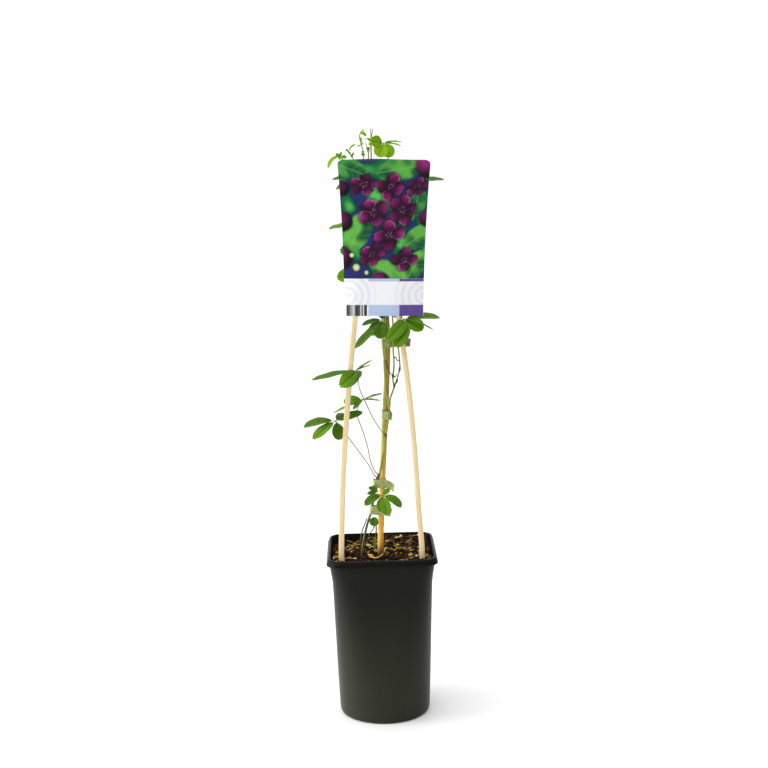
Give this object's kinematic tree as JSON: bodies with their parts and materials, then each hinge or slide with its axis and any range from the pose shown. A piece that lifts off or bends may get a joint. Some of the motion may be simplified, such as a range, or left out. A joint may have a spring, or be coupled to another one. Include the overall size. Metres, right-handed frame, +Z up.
{
  "type": "potted chocolate vine",
  "caption": "Young chocolate vine tied up a bamboo cane in a square-topped nursery pot, with split bamboo sticks at the front that carry a flat printed hood.",
  "frame": {"origin": "middle of the pot's foot, on the surface that the pot stands on", "axes": "+Z up along the cane; -Y is the front, where the printed hood is; +X is to the right as seen from the front"},
  "size_m": [0.1735, 0.1326, 0.707],
  "materials": {
    "pot_plastic": "fine-grained dark olive black polypropylene, satin",
    "potting_mix": "damp brown peat and bark with pale slivers",
    "bark": "dry golden bark",
    "cane_bamboo": "satin cane with joint rings, purple brown at the foot",
    "split_bamboo": "bare split bamboo with fine long grain",
    "tie_tape": "grey-green binding tape, slightly shiny",
    "printed_film": "white film with a glossy print",
    "stem_bark": "green twining stem, brown at the nodes",
    "leaf_green": "satin mid-green leaflets with paler veins",
    "leaf_lime": "soft young lime-green leaflets"
  },
  "bodies": {
    "root": {"pot": "pot_plastic", "soil": "potting_mix", "bark_curl": "bark", "cane": "cane_bamboo", "split_stick_left": "split_bamboo", "split_stick_right": "split_bamboo", "label_hood": "printed_film", "tape_tie_1": "tie_tape", "tape_tie_2": "tie_tape", "tape_tie_3": "tie_tape", "tape_tie_4": "tie_tape", "main_stem": "stem_bark", "side_stem_left": "stem_bark", "side_stem_right": "stem_bark", "basal_shoot_left": "stem_bark", "basal_shoot_right": "stem_bark", "leaf_low_front": "leaf_green", "leaf_left_low": "leaf_green", "leaf_left_middle": "leaf_green", "leaf_left_high": "leaf_green", "leaf_centre_left": "leaf_green", "leaf_centre_right": "leaf_green", "leaf_hood_left_2": "leaf_green", "leaf_hood_left_3": "leaf_green", "leaf_hood_left_4": "leaf_green", "leaf_hood_right": "leaf_green", "leaf_back_1": "leaf_green", "leaf_back_2": "leaf_green", "leaf_back_3": "leaf_green", "round_leaf_shoot": "leaf_green", "leaf_hood_left_1": "leaf_green", "leaf_top_left": "leaf_lime", "leaf_top_right": "leaf_lime", "curled_shoot": "leaf_lime", "forked_shoot": "leaf_lime"}
  },
  "joints": []
}
